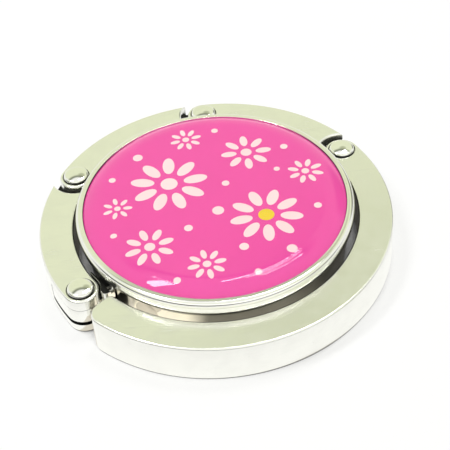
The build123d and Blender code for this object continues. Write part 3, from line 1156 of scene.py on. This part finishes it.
# Studio as polished metal sees it, what lights everything else, and what the camera sees
ROOM = (0.94, 0.95, 0.92, 1)
BACK_WALL = (0.83, 0.87, 0.635, 1)
CEILING = (1.02, 1.02, 1.0, 1)
CEILING_EDGE = (0.22, 0.24, 0.17, 1)
SHADE_BESIDE = (0.50, 0.53, 0.36, 1)
SIDE_SHADE = (0.22, 0.23, 0.17, 1)
FRONT = (0.87, 0.90, 0.72, 1)
FRONT_PANEL = (1.2, 1.2, 1.16, 1)
DARK_SIDE = (0.02, 0.018, 0.015, 1)
SOFT_LIGHT = (0.52, 0.52, 0.52, 1)
WHITE = (1, 1, 1, 1)
# Ceiling lamps: place above the table, length, width, azimuth of the length, brightness
LAMPS = {
    "softbox": ((-0.306, -0.042, 0.6), 0.27, 0.08, 36, 16.0),
    "strip": ((-0.200, 0.075, 0.6), 0.12, 0.015, -44, 16.0),
    "tube_1": ((0.090, 0.258, 0.6), 0.28, 0.020, 51, 16.0),
    "tube_2": ((0.141, 0.228, 0.6), 0.21, 0.020, 45, 16.0),
    "tube_3": ((0.204, 0.156, 0.6), 0.19, 0.020, 36, 16.0),
}


def ceiling_lamp(name, place, length, width, azimuth, brightness):
    """Area lamp that faces down, given by the brightness of its own face."""
    data = bpy.data.lights.new(name, "AREA")
    data.shape = "RECTANGLE"
    data.size, data.size_y = length, width
    data.energy = brightness * pi * length * width
    lamp = bpy.data.objects.new(name, data)
    lamp.location = place
    lamp.visible_transmission = False
    lamp.rotation_euler = (0, 0, radians(azimuth))
    bpy.context.scene.collection.objects.link(lamp)


def towards(tree, vector, direction, inner, outer):
    """Mask that is 1 within an angle of a direction and 0 past a wider one."""
    aim = tuple(Vector(direction).normalized())
    near = node(tree, "VectorMath", {0: vector, 1: aim}, operation="DOT_PRODUCT")
    return node(tree, "MapRange", {
        "Value": near.outputs["Value"],
        "From Min": cos(radians(outer)), "From Max": cos(radians(inner))},
        interpolation_type="SMOOTHSTEP").outputs[0]


def studio_world():
    """White to the camera; to polished metal a pale studio with a dark side behind the camera."""
    world = bpy.data.worlds.new("studio")
    tree = emptied(world)
    ray = node(tree, "TexCoord").outputs["Generated"]
    side, depth, height = split(tree, ray)
    lean = plus(tree, height, remap(tree, side, -0.1, 0.25, 0.0, 0.12))
    # Each layer lies over the ones before it
    layers = (
        (towards(tree, ray, (0, 0.75, 0.66), 20, 55), BACK_WALL),
        (remap(tree, depth, 0.1, -0.2), FRONT),
        (times(tree, remap(tree, height, 0.80, 0.74), remap(tree, depth, -0.3, -0.5)),
         FRONT_PANEL),
        (towards(tree, ray, (0.13, 0.62, 0.77), 2, 10), SHADE_BESIDE),
        (towards(tree, ray, (0.64, 0.70, 0.31), 5, 18), SIDE_SHADE),
        (times(tree, remap(tree, height, 0.78, 0.85), remap(tree, depth, 0.15, 0.35)),
         CEILING_EDGE),
        (remap(tree, height, 0.865, 0.91), CEILING),
        (times(tree, remap(tree, lean, 0.26, 0.36, 1.0, 0.0),
               remap(tree, depth, 0.0, 0.25, 1.0, 0.0)), DARK_SIDE),
    )
    room = ROOM
    for mask, colour in layers:
        room = blend_colour(tree, mask, room, colour)
    path = node(tree, "LightPath").outputs
    soft = blend_colour(tree, path["Is Glossy Ray"], SOFT_LIGHT, room)
    seen = blend_colour(tree, path["Is Camera Ray"], soft, WHITE)
    show(tree, "OutputWorld", node(tree, "Background", {"Color": seen, "Strength": 1.0}))
    bpy.context.scene.world = world


# Table's paper, how much darker it is to the camera where the part covers it (painted shade) and
# where it doesn't, and in reflections; the camera's lift to white, the painted reflection tint of
# the gap, and the tint of open air
PAPER = 0.8
COVERED_PAINTED_SHADE, OPEN_LOSS, MIRRORED_LOSS = 0.72, 0.36, 0.6
OPEN_LIFT = 0.63
GAP_PAINTED_TINT = (1.0, 0.92, 0.78, 1)
OPEN_TINT = (1, 1, 0.985, 1)
# Distance within which something over the table covers it, in metres
COVER_REACH = 0.004


def table_material():
    """White table with the object's shadow, painted shade where covered, and painted light in
    reflections.
    """
    made = bpy.data.materials.new("white table")
    tree = emptied(made)
    path = node(tree, "LightPath").outputs
    camera = path["Is Camera Ray"]
    mirrored = maths(tree, "MAXIMUM", path["Is Glossy Ray"], path["Is Transmission Ray"])
    place = split(tree, millimetres(tree))
    radius = from_axis(tree, place["X"], place["Y"])
    around = maths(tree, "ARCTAN2", place["Y"], place["X"])

    def along(start, end, before, after):
        """Value that changes between two azimuths in degrees."""
        return remap(tree, around, radians(start), radians(end), before, after)

    def between(mask, low, high):
        """Value between two, by a mask."""
        return node(tree, "Mix", {0: mask, 2: low, 3: high}).outputs[0]

    # Painted light and shade in reflections: lighter or darker by azimuth in the gap, dark under
    # the ring with its edge moved by azimuth, and brighter near the ring's foot
    gap_painted_light = plus(tree, along(-140, -136, 0.0, 1.2), along(-108, -98, 0.0, -1.0),
                  along(-58, -32, 0.0, -0.17))
    foot = minus(tree, radius, along(-100, -65, 0.1, 0.5))
    outside = remap(tree, plus(tree, foot, along(-55, -35, 0.0, 0.3)), 22.1, 22.3)
    under = between(remap(tree, radius, 18.2, 19.0), gap_painted_light, along(-115, -85, 0.6, 0.12))
    mirrored_painted_light = between(outside, under, remap(tree, radius, 22.5, 29.0, 0.92, 0.76))
    covered = node(tree, "AmbientOcclusion", {"Distance": COVER_REACH}, samples=8)
    uncovered = remap(tree, covered.outputs["AO"], 0.3, 0.46)
    # Painted reflection: under the part, reflections see the table in a warm gap tint
    tint = blend_colour(tree, maths(tree, "MAXIMUM", outside, camera), GAP_PAINTED_TINT, OPEN_TINT)
    lift = plus(tree, times(tree, mirrored, mirrored_painted_light),
                times(tree, camera, times(tree, uncovered, OPEN_LIFT)))
    # Painted shade: where the part covers the table, its paper is painted darker to the camera
    loss = remap(tree, uncovered, 0.0, 1.0, COVERED_PAINTED_SHADE, OPEN_LOSS)
    albedo = minus(tree, PAPER, times(tree, camera, loss), times(tree, mirrored, MIRRORED_LOSS))
    grey = node(tree, "CombineColor", {0: albedo, 1: albedo, 2: albedo}).outputs[0]
    paper = node(tree, "BsdfDiffuse", {"Color": grey})
    light = node(tree, "Emission", {"Color": tint, "Strength": lift})
    both = node(tree, "AddShader", {0: paper.outputs[0], 1: light.outputs[0]})
    show(tree, "OutputMaterial", both)
    return made


class PURSEHOOK_OT_stage(bpy.types.Operator):
    """White table, studio light and the camera"""

    bl_idname = "pursehook.stage"
    bl_label = "Stage"

    def execute(self, context):
        table = bmesh.new()
        bmesh.ops.create_grid(table, x_segments=2, y_segments=2, size=TABLE_HALF)
        bmesh.ops.translate(table, verts=table.verts, vec=(0, 0, -TABLE_DROP))
        floor = as_object(table, "table")
        floor.data.materials.append(table_material())
        studio_world()
        for name, lamp in LAMPS.items():
            ceiling_lamp(name, *lamp)
        data = bpy.data.cameras.new("camera")
        data.lens, data.sensor_width = CAMERA_LENS, SENSOR_WIDTH
        data.clip_start, data.clip_end = CAMERA_CLIP
        camera = bpy.data.objects.new("camera", data)
        context.scene.collection.objects.link(camera)
        right, up = Vector(CAMERA_RIGHT).normalized(), Vector(CAMERA_UP).normalized()
        turn = Matrix((right, up, right.cross(up))).transposed().to_4x4()
        camera.matrix_world = Matrix.Translation(Vector(CAMERA_PLACE) * MM) @ turn
        context.scene.camera = camera
        context.scene.view_settings.view_transform = "Standard"
        return {"FINISHED"}


OPERATORS = (
    PURSEHOOK_OT_links,
    PURSEHOOK_OT_hook,
    PURSEHOOK_OT_rivets,
    PURSEHOOK_OT_knuckle,
    PURSEHOOK_OT_disc,
    PURSEHOOK_OT_print,
    PURSEHOOK_OT_resin,
    PURSEHOOK_OT_pad,
    PURSEHOOK_OT_fittings,
    PURSEHOOK_OT_stage,
)


class PURSEHOOK_PT_panel(bpy.types.Panel):
    """Purse hook's sizes, colours and pieces"""

    bl_idname = "PURSEHOOK_PT_panel"
    bl_label = "Folding purse hook"
    bl_space_type = "VIEW_3D"
    bl_region_type = "UI"
    bl_category = "Purse hook"

    def draw(self, context):
        scene = context.scene
        for sizes in (scene.ring_sizes, scene.disc_sizes, scene.finish_colours):
            for name in type(sizes).__annotations__:
                self.layout.prop(sizes, name)
        for operator in OPERATORS:
            self.layout.operator(operator.bl_idname)


CLASSES = (RingSizes, DiscSizes, Finishes) + OPERATORS + (PURSEHOOK_PT_panel,)
SETTINGS = {"ring_sizes": RingSizes, "disc_sizes": DiscSizes, "finish_colours": Finishes}


def register():
    for each in CLASSES:
        bpy.utils.register_class(each)
    for name, group in SETTINGS.items():
        setattr(bpy.types.Scene, name, bpy.props.PointerProperty(type=group))


def unregister():
    for name in SETTINGS:
        delattr(bpy.types.Scene, name)
    for each in reversed(CLASSES):
        bpy.utils.unregister_class(each)


def main():
    register()
    make_finishes(bpy.context.scene.finish_colours)
    for operator in OPERATORS:
        getattr(bpy.ops.pursehook, operator.bl_idname.split(".")[1])()


if __name__ == "__main__":
    main()
